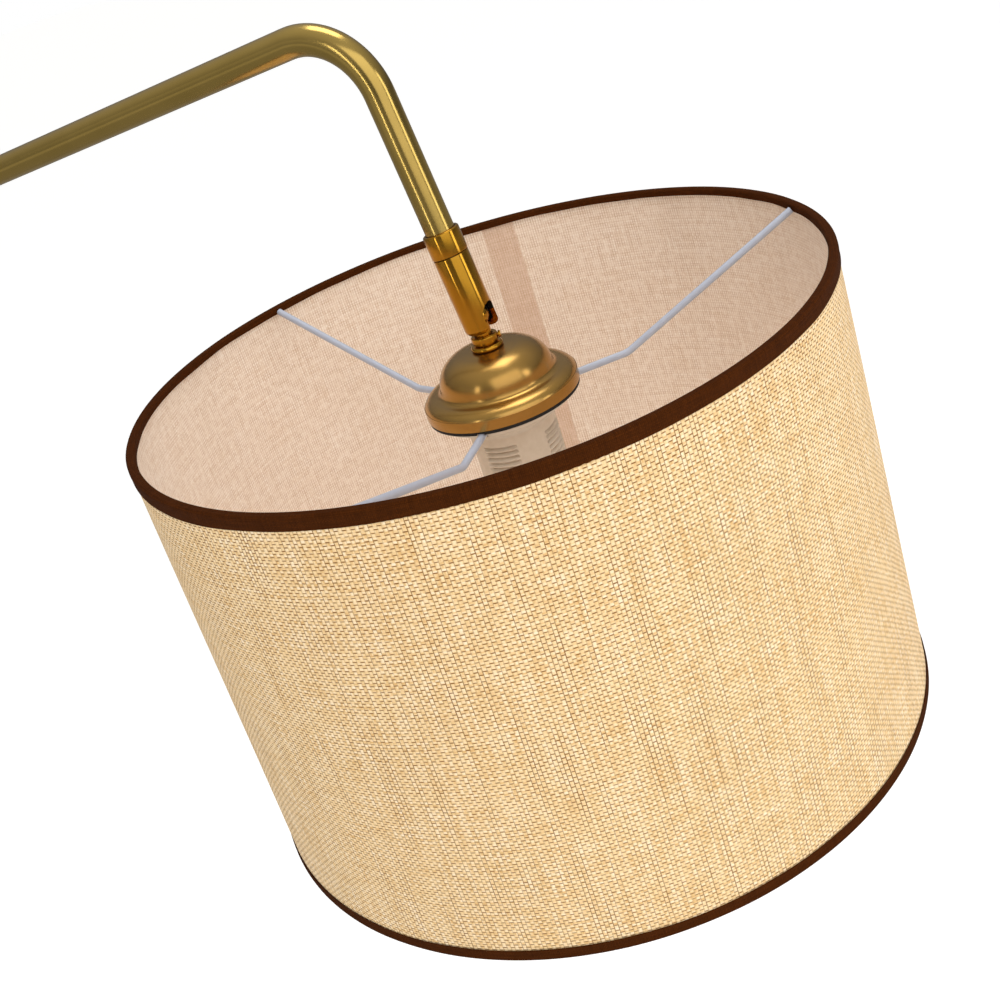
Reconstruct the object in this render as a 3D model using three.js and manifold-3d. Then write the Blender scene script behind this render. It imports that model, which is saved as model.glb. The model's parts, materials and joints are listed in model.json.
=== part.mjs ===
// An arc floor lamp with a tapered drum shade, made of separate pieces.
// Millimetres, +Z up. The origin is the centre of the base's underside, and the arm reaches along +X.
import * as THREE from 'three';
import { mergeVertices } from 'three/addons/utils/BufferGeometryUtils.js';
import Module from 'manifold-3d';

const wasm = await Module();
wasm.setup();

// ---- driving dimensions ----
const gap = 0.3;                                    // left between faces that meet
const reach = 980;                                  // pole's axis to the knuckle
const pivotHeight = 1630;                           // knuckle pin above the floor
const armRise = THREE.MathUtils.degToRad(7);        // the straight arm climbs this much to the elbow
const tubeRadius = 8;
const tubeBore = 6.8;
const elbowRadius = 39;                             // centre line of the right-angle elbow
const dropLength = 161.5;                           // elbow's corner to the knuckle pin
const arcRadius = 450;                              // centre line of the large bend
const poleRadius = 11;
const poleBore = 9.5;
const baseRadius = 150;
const padHeight = 2.5;
const weightTop = 21.5;
const coverTop = 26;                                // flat middle of the base cover
const poleSeam = 605;                               // lower pole tube ends here
const socketBottom = 1150;
const poleTop = 1180;
const socketTop = 1236;
const joinerFromElbow = 509;                        // seam between arm and arc, from the elbow's corner
const collarBottom = 36.3;                          // heights above the pin, along the last tube
const collarTop = 49.2;
const barrelBottom = -8.8;
const barrelTop = 35.8;
const barrelRadius = 9.7;
const slotWidth = 12.5;
const pinRadius = 2;
const canopyTop = -18.8;                            // heights from here on are below the pin
const canopyRim = -47.8;
const canopyRadius = 43.3;
const armLevel = -51;                               // level part of the spider arms
const spiderWire = 2;
const spiderBend = 74;                              // the arms turn up this far from the hub's axis
const spiderAzimuths = [40.6, 160.6, -79.4];
const shadeTop = -4;                                // top edge of the drum
const shadeHeight = 261.5;
const shadeTopRadius = 192.8;                       // outside of the fabric
const shadeBottomRadius = 199.2;
const shadeShift = -6;                              // the spider holds the drum a little nearer the pole
const fabricThickness = 0.8;
const liningThickness = 0.4;
const ringWire = 1.2;
const trimThickness = 0.5;
const leadRadius = 2.4;
const leadLevel = 6.9;                              // height of the lead where it crosses the base

// ---- places that follow from them ----
const pivot = new THREE.Vector3(reach, 0, pivotHeight);
const corner = new THREE.Vector3(
  reach - dropLength * Math.sin(armRise),
  0,
  pivotHeight + dropLength * Math.cos(armRise),
);
const arcTurn = Math.PI / 2 - armRise;
const arcTangent = arcRadius * Math.tan(arcTurn / 2);
const arcStart = corner.z - corner.x * Math.tan(armRise) - arcTangent;
const arcToCorner = corner.x / Math.cos(armRise) - arcTangent;

// ---- materials ----
function finish(colour, roughness, metalness) {
  return new THREE.MeshStandardMaterial({ color: colour, roughness, metalness });
}
const antiqueBrass = finish('#a08a4c', 0.3, 1);
const goldBrass = finish('#a8741c', 0.25, 1);
const steel = finish('#9a9a98', 0.35, 1);
const castIron = finish('#3a3a3c', 0.7, 0.6);
const rubber = finish('#161616', 0.8, 0);
const paleEnamel = finish('#c9ced8', 0.45, 0);
const whitePlastic = finish('#efe9df', 0.4, 0);
const nylon = finish('#e6e2d6', 0.5, 0);
const porcelain = finish('#f2f0ea', 0.3, 0);
const brightBrass = finish('#c9a14a', 0.25, 1);
const frostedGlass = finish('#fbf8f0', 0.4, 0);
const nickel = finish('#b9b9b4', 0.25, 1);
const linen = finish('#d9bf86', 0.9, 0);
const peachLining = finish('#ecd0b8', 0.9, 0);
const brownTape = finish('#3f1a0a', 0.85, 0);
const leadSheath = finish('#202020', 0.6, 0);

// ---- shape helpers ----
// A solid of revolution about Z. The outline is [radius, height] points, anticlockwise.
function lathe(outline, segments = 24) {
  const points = outline.map(([r, z]) => new THREE.Vector2(r, z));
  if (outline[0][0] > 0) points.push(points[0].clone());
  const geometry = new THREE.LatheGeometry(points, segments);
  geometry.rotateX(Math.PI / 2);
  return geometry;
}

// A plain tube or ring about Z.
function ring(inner, outer, low, high, segments = 24) {
  return lathe([[inner, low], [outer, low], [outer, high], [inner, high]], segments);
}

// Points on an arc in the outline's plane, angles in degrees.
function arc(centreR, centreZ, radiusR, radiusZ, from, to, steps) {
  const points = [];
  for (let i = 0; i <= steps; i += 1) {
    const angle = THREE.MathUtils.degToRad(from + ((to - from) * i) / steps);
    points.push([centreR + radiusR * Math.cos(angle), centreZ + radiusZ * Math.sin(angle)]);
  }
  return points;
}

// A path in the XZ plane made of straight and round pieces, known at its stations.
class BentPath extends THREE.Curve {
  constructor(x, z, heading, pieces) {
    super();
    this.stations = [{ x, z, heading }];
    for (const piece of pieces) this.addPiece(piece);
  }

  addPiece({ length = 0, radius = 0, turn = 0, steps = 1 }) {
    for (let i = 0; i < steps; i += 1) {
      const last = this.stations[this.stations.length - 1];
      const stepTurn = turn / steps;
      const chord = turn ? 2 * radius * Math.sin(Math.abs(stepTurn) / 2) : length / steps;
      const direction = last.heading + stepTurn / 2;
      this.stations.push({
        x: last.x + chord * Math.cos(direction),
        z: last.z + chord * Math.sin(direction),
        heading: last.heading + stepTurn,
      });
    }
  }

  get steps() {
    return this.stations.length - 1;
  }

  getUtoTmapping(u) {
    return u;
  }

  getPoint(t) {
    const station = this.stations[Math.round(t * this.steps)];
    return new THREE.Vector3(station.x, 0, station.z);
  }

  getTangent(t) {
    const station = this.stations[Math.round(t * this.steps)];
    return new THREE.Vector3(Math.cos(station.heading), 0, Math.sin(station.heading));
  }
}

// A round bar, or a tube when it has a bore, along a path.
function sweep(path, radius, bore = 0, sides = 16) {
  const section = new THREE.Shape().absarc(0, 0, radius, 0, 2 * Math.PI, false);
  if (bore > 0) section.holes.push(new THREE.Path().absarc(0, 0, bore, 0, 2 * Math.PI, true));
  return new THREE.ExtrudeGeometry(section, {
    steps: path.steps,
    curveSegments: sides / 2,
    extrudePath: path,
  });
}

function toManifold(geometry) {
  const bare = geometry.clone();
  bare.deleteAttribute('normal');
  bare.deleteAttribute('uv');
  const merged = mergeVertices(bare, 1e-4);
  return new wasm.Manifold(new wasm.Mesh({
    numProp: 3,
    vertProperties: new Float32Array(merged.attributes.position.array),
    triVerts: new Uint32Array(merged.index.array),
  }));
}

function cut(geometry, ...cutters) {
  let solid = toManifold(geometry);
  for (const cutter of cutters) solid = solid.subtract(toManifold(cutter));
  const mesh = solid.getMesh();
  const result = new THREE.BufferGeometry();
  result.setAttribute('position', new THREE.BufferAttribute(mesh.vertProperties, 3));
  result.setIndex(new THREE.BufferAttribute(mesh.triVerts, 1));
  return result;
}

// A round cutter or bar along X or Y.
function barAlongX(radius, from, to, y = 0, z = 0, segments = 24) {
  const bar = new THREE.CylinderGeometry(radius, radius, to - from, segments);
  bar.rotateZ(Math.PI / 2);
  return bar.translate((from + to) / 2, y, z);
}

function barAlongY(radius, from, to, x = 0, z = 0, segments = 24) {
  const bar = new THREE.CylinderGeometry(radius, radius, to - from, segments);
  return bar.translate(x, (from + to) / 2, z);
}

function piece(name, geometry, material) {
  const mesh = new THREE.Mesh(geometry, material);
  mesh.name = name;
  return mesh;
}

// ---- the base ----
function basePad() {
  return piece('base_pad', lathe([[0, 0], [144, 0], [144, padHeight], [0, padHeight]], 40), rubber);
}

function baseWeight() {
  const recessRadius = 26;
  const recessTop = 16.4;
  const bottom = padHeight + gap;
  const body = lathe([
    [recessRadius, bottom],
    [142, bottom],
    [142, weightTop - 3],
    [139, weightTop],
    [5.6, weightTop],
    [5.6, recessTop],
    [recessRadius, recessTop],
  ], 40);
  const channel = new THREE.BoxGeometry(125, 7, 9).translate(-82.5, 0, bottom + 2.5);
  return piece('base_weight', cut(body, channel), castIron);
}

function baseCover() {
  const wall = 1.5;
  const skirt = 1;
  const outline = [
    [baseRadius - wall, skirt],
    [baseRadius, skirt],
    ...arc(baseRadius - 8, 15.5, 8, 8, 0, 90, 4),
    [30, coverTop],
    [7, coverTop],
    [7, coverTop - wall],
    [30, coverTop - wall],
    ...arc(baseRadius - 8, 15.5, 8 - wall, 8 - wall, 90, 0, 4),
  ];
  const inletHole = barAlongX(5, -155, -145, 0, leadLevel);
  const inletMouth = new THREE.BoxGeometry(10, 10, leadLevel).translate(-150, 0, leadLevel / 2);
  return piece('base_cover', cut(lathe(outline, 48), inletHole, inletMouth), antiqueBrass);
}

function cordInlet() {
  const spool = lathe([
    [3.2, -153],
    [5.5, -153],
    [5.5, -baseRadius - gap],
    [4.7, -baseRadius - gap],
    [4.7, -148],
    [5.5, -148],
    [5.5, -145.4],
    [3.2, -145.4],
  ], 16);
  spool.rotateY(Math.PI / 2).translate(0, 0, leadLevel);
  return piece('cord_inlet', spool, rubber);
}

function baseFixings(lamp) {
  lamp.add(piece('base_rod', ring(3.2, 5, 9.5, 60, 16), steel));
  lamp.add(piece('base_washer', ring(5.3, 20, 14.6, 16.1), steel));
  const hexagon = new THREE.Shape();
  for (let i = 0; i < 6; i += 1) {
    const angle = (i * Math.PI) / 3;
    const x = 9.8 * Math.cos(angle);
    const y = 9.8 * Math.sin(angle);
    if (i === 0) hexagon.moveTo(x, y);
    else hexagon.lineTo(x, y);
  }
  hexagon.closePath();
  hexagon.holes.push(new THREE.Path().absarc(0, 0, 5.3, 0, 2 * Math.PI, true));
  const nut = new THREE.ExtrudeGeometry(hexagon, { depth: 4.5, bevelEnabled: false, curveSegments: 12 });
  lamp.add(piece('base_nut', nut.translate(0, 0, 9.8), steel));
}

// ---- the pole ----
function poleParts(lamp) {
  const footTop = 48;
  lamp.add(piece('foot_cup', lathe([
    [poleRadius + gap, coverTop + gap],
    [24, coverTop + gap],
    [24, coverTop + 3],
    ...arc(24, 40, 10, 11, 270, 180, 4),
    [13, footTop],
    [poleRadius + gap, footTop],
  ]), antiqueBrass));
  lamp.add(piece('pole_plug', ring(5 + gap, poleBore - gap, coverTop + 1, 56), steel));
  lamp.add(piece('pole_lower', ring(poleBore, poleRadius, coverTop + gap, poleSeam), antiqueBrass));
  lamp.add(piece('pole_joiner', lathe([
    [6.5, poleSeam - 45],
    [poleBore - gap, poleSeam - 45],
    [poleBore - gap, poleSeam + gap],
    [poleRadius, poleSeam + gap],
    [poleRadius, poleSeam + 3.3],
    [poleBore - gap, poleSeam + 3.3],
    [poleBore - gap, poleSeam + 45],
    [6.5, poleSeam + 45],
  ]), goldBrass));
  lamp.add(piece('pole_upper', ring(poleBore, poleRadius, poleSeam + 3.6, poleTop), antiqueBrass));
}

// The socket on the pole's top, in which the arc turns on a nylon bush.
function arcSocket(lamp) {
  const bushRadius = 9.7;
  const shoulder = poleTop + gap;
  const screwHeight = 1206;
  const screwHole = barAlongX(2.4, -20, 0, 0, screwHeight);
  const socket = lathe([
    [poleRadius + gap, socketBottom],
    [13.4, socketBottom],
    [13.4, socketTop - 8],
    [11.6, socketTop],
    [bushRadius + gap, socketTop],
    [bushRadius + gap, shoulder + 4],
    [7, shoulder + 4],
    [7, shoulder],
    [poleRadius + gap, shoulder],
  ]);
  lamp.add(piece('arc_socket', cut(socket, screwHole), goldBrass));
  const bush = lathe([
    [tubeRadius + gap, shoulder + 4.3],
    [bushRadius, shoulder + 4.3],
    [bushRadius, socketTop + gap],
    [11.2, socketTop + gap],
    [11.2, socketTop + 2.3],
    [tubeRadius + gap, socketTop + 2.3],
  ]);
  lamp.add(piece('arc_bush', cut(bush, screwHole), nylon));
  const screw = lathe([
    [0, -26],
    [5.5, -26],
    [6.5, -25],
    [6.5, -17],
    [5.5, -16],
    [2.1, -16],
    [2.1, -tubeRadius - gap],
    [0, -tubeRadius - gap],
  ], 16);
  screw.rotateY(Math.PI / 2).translate(0, 0, screwHeight);
  lamp.add(piece('clamp_screw', screw, goldBrass));
}

// ---- the arc and the arm ----
function arcAndArm(lamp) {
  const tubeFoot = poleTop + 5;
  const toJoiner = arcToCorner - joinerFromElbow;
  const arcPath = new BentPath(0, tubeFoot, Math.PI / 2, [
    { length: arcStart - tubeFoot },
    { radius: arcRadius, turn: -arcTurn, steps: 16 },
    { length: toJoiner - 1.3 },
  ]);
  lamp.add(piece('arc_tube', sweep(arcPath, tubeRadius, tubeBore, 16), antiqueBrass));

  const toSeam = joinerFromElbow;
  const seam = new THREE.Vector3(
    corner.x - toSeam * Math.cos(armRise),
    0,
    corner.z - toSeam * Math.sin(armRise),
  );
  const joiner = lathe([
    [4.8, -30],
    [tubeBore - gap, -30],
    [tubeBore - gap, -1],
    [tubeRadius + 0.2, -1],
    [tubeRadius + 0.2, 1],
    [tubeBore - gap, 1],
    [tubeBore - gap, 30],
    [4.8, 30],
  ], 16);
  joiner.rotateY(Math.PI / 2 - armRise).translate(seam.x, 0, seam.z);
  lamp.add(piece('arm_joiner', joiner, goldBrass));

  const armStart = 1.3;
  const armPath = new BentPath(
    seam.x + armStart * Math.cos(armRise),
    seam.z + armStart * Math.sin(armRise),
    armRise,
    [
      { length: toSeam - armStart - elbowRadius },
      { radius: elbowRadius, turn: -Math.PI / 2, steps: 8 },
      { length: dropLength - elbowRadius - collarBottom - 4 },
    ],
  );
  lamp.add(piece('arm_tube', sweep(armPath, tubeRadius, tubeBore, 16), antiqueBrass));
}

// The lead runs inside the base, the pole, the arc and the stem.
function leads(lamp) {
  const turnRadius = 4;
  const polePath = new BentPath(-143, leadLevel, 0, [
    { length: 143 - turnRadius },
    { radius: turnRadius, turn: Math.PI / 2, steps: 6 },
    { length: poleTop - 8 - leadLevel - turnRadius },
  ]);
  lamp.add(piece('pole_lead', sweep(polePath, leadRadius, 0, 6), leadSheath));
  const leadFoot = poleTop + 6;
  const arcPath = new BentPath(0, leadFoot, Math.PI / 2, [
    { length: arcStart - leadFoot },
    { radius: arcRadius, turn: -arcTurn, steps: 16 },
    { length: arcToCorner - elbowRadius },
    { radius: elbowRadius, turn: -Math.PI / 2, steps: 8 },
    { length: dropLength - elbowRadius - collarTop - 1 },
  ]);
  lamp.add(piece('arc_lead', sweep(arcPath, leadRadius, 0, 6), leadSheath));
}

// ---- the swivel, on the last tube's own axis ----
function swivelParts() {
  const swivel = new THREE.Group();
  const floorTop = collarBottom + 3.7;
  swivel.add(piece('swivel_collar', lathe([
    [5 + gap, collarBottom],
    [10, collarBottom],
    [10, collarTop - 0.6],
    [9.4, collarTop],
    [tubeRadius + gap, collarTop],
    [tubeRadius + gap, floorTop],
    [5 + gap, floorTop],
  ], 28), goldBrass));
  swivel.add(piece('swivel_axle', lathe([
    [3, 27.4],
    [7.4, 27.4],
    [7.4, 30.4],
    [5, 30.4],
    [5, 45.5],
    [3, 45.5],
  ], 16), steel));
  const nutShape = ring(5 + gap, tubeBore - gap, floorTop + gap, floorTop + 4.3, 16);
  swivel.add(piece('axle_nut', nutShape, steel));
  swivel.add(swivelBarrel());
  swivel.add(piece('knuckle_pin', barAlongY(pinRadius, -8.7, 8.7), steel));
  for (const [name, side] of [['friction_washer_front', -1], ['friction_washer_back', 1]]) {
    const washer = ring(pinRadius + 0.15, 3.4, 6.35, 6.75, 16);
    washer.rotateX((-side * Math.PI) / 2);
    swivel.add(piece(name, washer, steel));
  }
  return swivel;
}

function swivelBarrel() {
  const bore = 7.8;
  const mouth = 6.4;
  const rounding = 3.6;
  const body = lathe([
    [mouth, barrelBottom],
    ...arc(barrelRadius - rounding, barrelBottom + rounding, rounding, rounding, 280, 360, 4),
    [barrelRadius, barrelTop],
    [5 + gap, barrelTop],
    [5 + gap, 31],
    [bore, 31],
    [bore, barrelBottom + 4],
    [mouth, barrelBottom + 2.5],
  ], 28);
  const slotEnd = barAlongX(slotWidth / 2, 0, 12);
  const slotMouth = new THREE.BoxGeometry(12, slotWidth, 20).translate(6, 0, -10);
  const pinHole = barAlongY(pinRadius + 0.15, -9, 9);
  return piece('swivel_barrel', cut(body, slotEnd, slotMouth, pinHole), goldBrass);
}

// ---- the head, upright below the knuckle pin ----
function stemParts(head) {
  const ball = 6.2;
  const neck = 4.7;
  const wireBore = 2.9;
  const neckTop = -Math.sqrt(ball ** 2 - neck ** 2);
  const boreTop = Math.sqrt(ball ** 2 - wireBore ** 2);
  const ballFrom = THREE.MathUtils.radToDeg(Math.atan2(neckTop, neck));
  const ballTo = THREE.MathUtils.radToDeg(Math.atan2(boreTop, wireBore));
  const stem = lathe([
    [wireBore, -39],
    [neck, -39],
    ...arc(0, 0, ball, ball, ballFrom, ballTo, 8),
  ], 20);
  head.add(piece('knuckle_stem', cut(stem, barAlongY(pinRadius + 0.15, -8, 8)), goldBrass));

  const screwAzimuth = THREE.MathUtils.degToRad(30);
  const screwLevel = -13.2;
  const nut = lathe([
    [neck + gap, -15.7],
    [6.2, -15.7],
    [6.2, -15.1],
    [7.3, -14.8],
    [7.3, -11.4],
    [6.8, -10.9],
    [neck + gap, -10.9],
  ]);
  const screwHole = barAlongX(1.4, 0, 10, 0, screwLevel, 16).rotateZ(screwAzimuth);
  head.add(piece('stem_nut', cut(nut, screwHole), goldBrass));
  const screw = lathe([
    [0, neck + 0.6],
    [1.1, neck + 0.6],
    [1.1, 7.6],
    [1.9, 7.6],
    [1.9, 8.9],
    [0, 8.9],
  ], 12);
  screw.rotateY(Math.PI / 2).translate(0, 0, screwLevel).rotateZ(screwAzimuth);
  head.add(piece('nut_lock_screw', screw, goldBrass));
  head.add(piece('canopy_washer', lathe([
    [neck + gap, canopyTop + gap],
    [8.4, canopyTop + gap],
    [8.9, canopyTop + 0.9],
    [8.9, canopyTop + 1.8],
    [8.2, -16],
    [neck + gap, -16],
  ]), goldBrass));
}

function canopy() {
  const wall = 0.9;
  const domeFoot = -35;
  const skirtTop = -38.2;
  const outside = [
    [canopyRadius, canopyRim],
    [canopyRadius, -41.9],
    ...arc(36.3, -42.2, 6.8, 4, 10, 90, 4),
    ...arc(33.6, skirtTop + 1.4, 1.6, 1.6, 0, 90, 2),
    ...arc(14.5, domeFoot, 17.1, 15.8, 0, 90, 5),
    [13.6, canopyTop],
    [5.3, canopyTop],
  ];
  const inside = [
    [5.3, canopyTop - wall],
    ...arc(14.5, domeFoot - 0.6, 16.2, 15.2, 90, 0, 5),
    [33, skirtTop - wall + 1],
    ...arc(36.3, -42.2, 5.9, 3.1, 90, 10, 3),
    [canopyRadius - wall, -42.2],
    [canopyRadius - wall, canopyRim],
  ];
  return piece('canopy', lathe([...outside, ...inside], 40), antiqueBrass);
}

// Where a spider arm meets the top ring, seen from the stem's axis.
function armReach(azimuth) {
  const angle = THREE.MathUtils.degToRad(azimuth);
  const rimRadius = 188;
  const x = shadeShift + rimRadius * Math.cos(angle);
  const y = rimRadius * Math.sin(angle);
  return { length: Math.hypot(x, y), heading: Math.atan2(y, x) };
}

// Cutters that let the three arms out between the canopy and the lampholder.
function armNotches(top) {
  return spiderAzimuths.map((azimuth) => {
    const notch = new THREE.BoxGeometry(14, 4.8, 6).translate(41, 0, top - 3);
    return notch.rotateZ(armReach(azimuth).heading);
  });
}

function gasket() {
  const band = ring(36, 42.9, -49.7, canopyRim - gap, 40);
  return piece('canopy_gasket', cut(band, ...armNotches(canopyRim - 1)), rubber);
}

function lampholder(head) {
  head.add(piece('lampholder_cap', lathe([
    [17.5, -47],
    [19.5, -47],
    [19.5, -34],
    [12, -27],
    [5.3, -27],
    [5.3, -29.2],
    [11, -29.2],
    [17.5, -35],
  ]), whitePlastic));
  const body = lathe([
    [15.8, -112],
    [23.4, -112],
    [24.4, -110],
    [24.4, -62],
    [26, -60.3],
    [30, -57.8],
    [36, -54.2],
    [39.4, -52.2],
    [40.5, -50.9],
    [40.5, -49.9],
    [39.1, -49.9],
    [38.7, -50.9],
    [35.3, -53.3],
    [20.5, -53.3],
    [20.5, -47.3],
    [17.8, -47.3],
    [17.8, -108],
    [15.8, -109],
  ], 36);
  head.add(piece('lampholder_body', cut(body, ...armNotches(canopyRim)), whitePlastic));
  head.add(piece('contact_block', ring(3.3, 17.2, -58, -47.5), porcelain));
  head.add(piece('centre_contact', lathe([
    [0, -69.8],
    [2.2, -69.2],
    [3, -68],
    [3, -48],
    [0, -48],
  ], 16), brightBrass));
  head.add(piece('screw_shell', lathe([
    [14.1, -107],
    [14.6, -107],
    [14.6, -58.3],
    [8, -58.3],
    [8, -58.9],
    [14.1, -58.9],
  ]), brightBrass));
  for (const [name, side] of [['terminal_screw_1', -1], ['terminal_screw_2', 1]]) {
    const screw = lathe([[0, -47.2], [2.4, -47.2], [2.4, -45.6], [0, -45.6]], 16);
    head.add(piece(name, screw.translate(0, side * 11, 0), steel));
  }
  const leadShape = lathe([[0, -38], [leadRadius, -38], [leadRadius, -10], [0, -10]], 8);
  head.add(piece('head_lead', leadShape, leadSheath));
}

function bulb(head) {
  head.add(piece('bulb_contact', lathe([
    [0, -74],
    [7.5, -74],
    [4.6, -71.4],
    [3, -70.3],
    [0, -70.3],
  ], 24), steel));
  head.add(piece('bulb_cap', lathe([
    [12.4, -98],
    [13.2, -98],
    [13.2, -76.5],
    [10.5, -74.3],
    [8, -74.3],
    [8, -75],
    [10, -75],
    [12.4, -77],
  ]), nickel));
  const outside = [
    [0, -178],
    ...arc(0, -148, 30, 30, -75, 0, 4),
    [24, -127],
    [15, -112],
    [13.7, -108],
    [13.2, -98.3],
  ];
  const inside = [
    [12.2, -98.3],
    [12.7, -108],
    [14, -112.5],
    [23, -127.6],
    ...arc(0, -148, 29, 29, 0, -75, 4),
    [0, -177],
  ];
  head.add(piece('bulb_glass', lathe([...outside, ...inside], 24), frostedGlass));
}

function spider(head) {
  const hubRadius = 29.5;
  head.add(piece('spider_hub', ring(24.6, hubRadius, -53, -50.4, 36), paleEnamel));
  const bendRadius = 12;
  const rimLevel = shadeTop - 3.5;
  spiderAzimuths.forEach((azimuth, index) => {
    const { length, heading } = armReach(azimuth);
    const slope = Math.atan2(rimLevel - armLevel, length - spiderBend);
    const tangent = bendRadius * Math.tan(slope / 2);
    const start = hubRadius + gap;
    const path = new BentPath(start, armLevel, 0, [
      { length: spiderBend - tangent - start },
      { radius: bendRadius, turn: slope, steps: 4 },
      { length: (length - spiderBend) / Math.cos(slope) - tangent },
    ]);
    const arm = sweep(path, spiderWire, 0, 10).rotateZ(heading);
    head.add(piece(`spider_arm_${index + 1}`, arm, paleEnamel));
  });
}

// ---- the drum shade, about its own axis with its top edge at height 0 ----
function shade() {
  const drum = new THREE.Group();
  const sides = 48;
  const bottom = -shadeHeight;
  const edge = trimThickness + gap;
  const outer = (z) => shadeTopRadius + ((shadeBottomRadius - shadeTopRadius) * -z) / shadeHeight;
  const skin = (from, thickness, low, high) => lathe([
    [outer(low) + from - thickness, low],
    [outer(low) + from, low],
    [outer(high) + from, high],
    [outer(high) + from - thickness, high],
  ], sides);
  const fabricFloor = bottom + edge;
  drum.add(piece('shade_fabric', skin(0, fabricThickness, fabricFloor, -edge), linen));
  const liningFace = -fabricThickness - gap;
  const liningEnd = edge + 2 * ringWire + gap;
  drum.add(piece(
    'shade_lining',
    skin(liningFace, liningThickness, bottom + liningEnd, -liningEnd),
    peachLining,
  ));

  const ringLevels = { top_wire_ring: -edge - ringWire, bottom_wire_ring: bottom + edge + ringWire };
  for (const [name, level] of Object.entries(ringLevels)) {
    const radius = outer(level) - fabricThickness - gap - ringWire;
    drum.add(piece(name, lathe(arc(radius, level, ringWire, ringWire, -180, 120, 5), sides), steel));
  }
  drum.add(trim('top_trim', outer, sides, 0, -7.6, -4));
  drum.add(trim('bottom_trim', outer, sides, bottom, bottom + 7, bottom + 4));
  return drum;
}

// A tape folded over the drum's edge: an outside leg, a web and a shorter inside leg.
function trim(name, outer, sides, edgeLevel, outsideEnd, insideEnd) {
  const legFace = (z) => outer(z) + gap;
  const insideFace = outer(edgeLevel) - fabricThickness - 2 * gap - 2 * ringWire;
  const inward = Math.sign(outsideEnd - edgeLevel);
  const web = edgeLevel + inward * trimThickness;
  const outline = [
    [legFace(outsideEnd), outsideEnd],
    [legFace(outsideEnd) + trimThickness, outsideEnd],
    [legFace(edgeLevel) + trimThickness, edgeLevel],
    [insideFace - trimThickness + 0.1, edgeLevel],
    [insideFace - trimThickness + 0.1, insideEnd],
    [insideFace, insideEnd],
    [insideFace, web],
    [legFace(web), web],
  ];
  if (inward > 0) outline.reverse();
  return piece(name, lathe(outline, sides), brownTape);
}

// ---- assembly ----
const lamp = new THREE.Group();
lamp.add(basePad(), baseWeight(), baseCover(), cordInlet());
baseFixings(lamp);
poleParts(lamp);
arcSocket(lamp);
arcAndArm(lamp);
leads(lamp);

const swivel = swivelParts();
swivel.position.copy(pivot);
swivel.rotation.y = -armRise;
lamp.add(swivel);

const head = new THREE.Group();
head.position.copy(pivot);
stemParts(head);
head.add(canopy(), gasket());
lampholder(head);
bulb(head);
spider(head);
const drum = shade();
drum.position.set(shadeShift, 0, shadeTop);
head.add(drum);
lamp.add(head);

export default lamp;
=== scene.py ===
import json
import math
import bmesh
import bpy
from mathutils import Matrix, Vector, noise


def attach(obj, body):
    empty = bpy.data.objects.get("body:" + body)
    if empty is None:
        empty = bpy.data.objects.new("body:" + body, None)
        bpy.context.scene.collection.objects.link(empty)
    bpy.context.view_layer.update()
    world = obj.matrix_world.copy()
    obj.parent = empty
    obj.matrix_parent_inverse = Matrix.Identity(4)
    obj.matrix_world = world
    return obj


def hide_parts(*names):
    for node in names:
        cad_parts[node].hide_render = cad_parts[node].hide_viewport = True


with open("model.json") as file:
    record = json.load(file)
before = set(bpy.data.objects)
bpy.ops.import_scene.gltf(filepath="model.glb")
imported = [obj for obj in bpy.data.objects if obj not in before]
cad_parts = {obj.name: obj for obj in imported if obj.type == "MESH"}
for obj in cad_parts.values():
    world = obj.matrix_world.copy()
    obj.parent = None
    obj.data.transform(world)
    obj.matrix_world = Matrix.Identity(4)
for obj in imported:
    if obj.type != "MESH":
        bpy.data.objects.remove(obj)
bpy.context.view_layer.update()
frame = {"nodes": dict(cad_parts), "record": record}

mm = 0.001

lampPlaces = {
    "reach": 980.0,             # pole's axis to the knuckle pin
    "pivotHeight": 1630.0,
    "armRise": math.radians(7),
    "dropLength": 161.5,        # elbow's corner to the knuckle pin
    "elbowRadius": 39.0,
    "arcRadius": 450.0,
    "tubeRadius": 8.0,
    "tubeBore": 6.8,
    "joinerFromElbow": 509.0,
    "joinerCollar": 1.3,        # from the joiner's middle to each tube's end
    "arcFoot": 1185.0,          # the arc's lower end above the floor
    "tubeEnd": 40.3,            # the last tube's end above the knuckle pin
    "shadeShift": -6.0,
    "shadeTop": -4.0,
}
rise = lampPlaces["armRise"]
pivot = Vector((lampPlaces["reach"], 0, lampPlaces["pivotHeight"])) * mm
headPlace = Matrix.Translation(pivot)
swivelPlace = Matrix.Translation(pivot) @ Matrix.Rotation(-rise, 4, "Y")
shadeOffset = Vector((lampPlaces["shadeShift"], 0, lampPlaces["shadeTop"])) * mm
shadePlace = headPlace @ Matrix.Translation(shadeOffset)


def arcPoints(centreR, centreZ, radiusR, radiusZ, start, end, steps):
    points = []
    for i in range(steps + 1):
        angle = math.radians(start + (end - start) * i / steps)
        points.append((centreR + radiusR * math.cos(angle), centreZ + radiusZ * math.sin(angle)))
    return points


def softenCorners(outline, radius, steps=3):
    # every sharp corner of a closed outline gets a small round, as a turned or pressed edge has
    result = []
    count = len(outline)
    for i in range(count):
        here = Vector(outline[i])
        before = Vector(outline[i - 1]) - here
        after = Vector(outline[(i + 1) % count]) - here
        if before.length < 1e-6 or after.length < 1e-6:
            continue
        turn = before.angle(after)
        if turn > math.radians(150) or here.x < 1e-6:
            result.append(tuple(here))
            continue
        reachBack = min(radius, before.length * 0.45, after.length * 0.45)
        start = here + before.normalized() * reachBack
        end = here + after.normalized() * reachBack
        for k in range(steps + 1):
            t = k / steps
            point = start * (1 - t) ** 2 + here * 2 * t * (1 - t) + end * t ** 2
            result.append(tuple(point))
    return result


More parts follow.
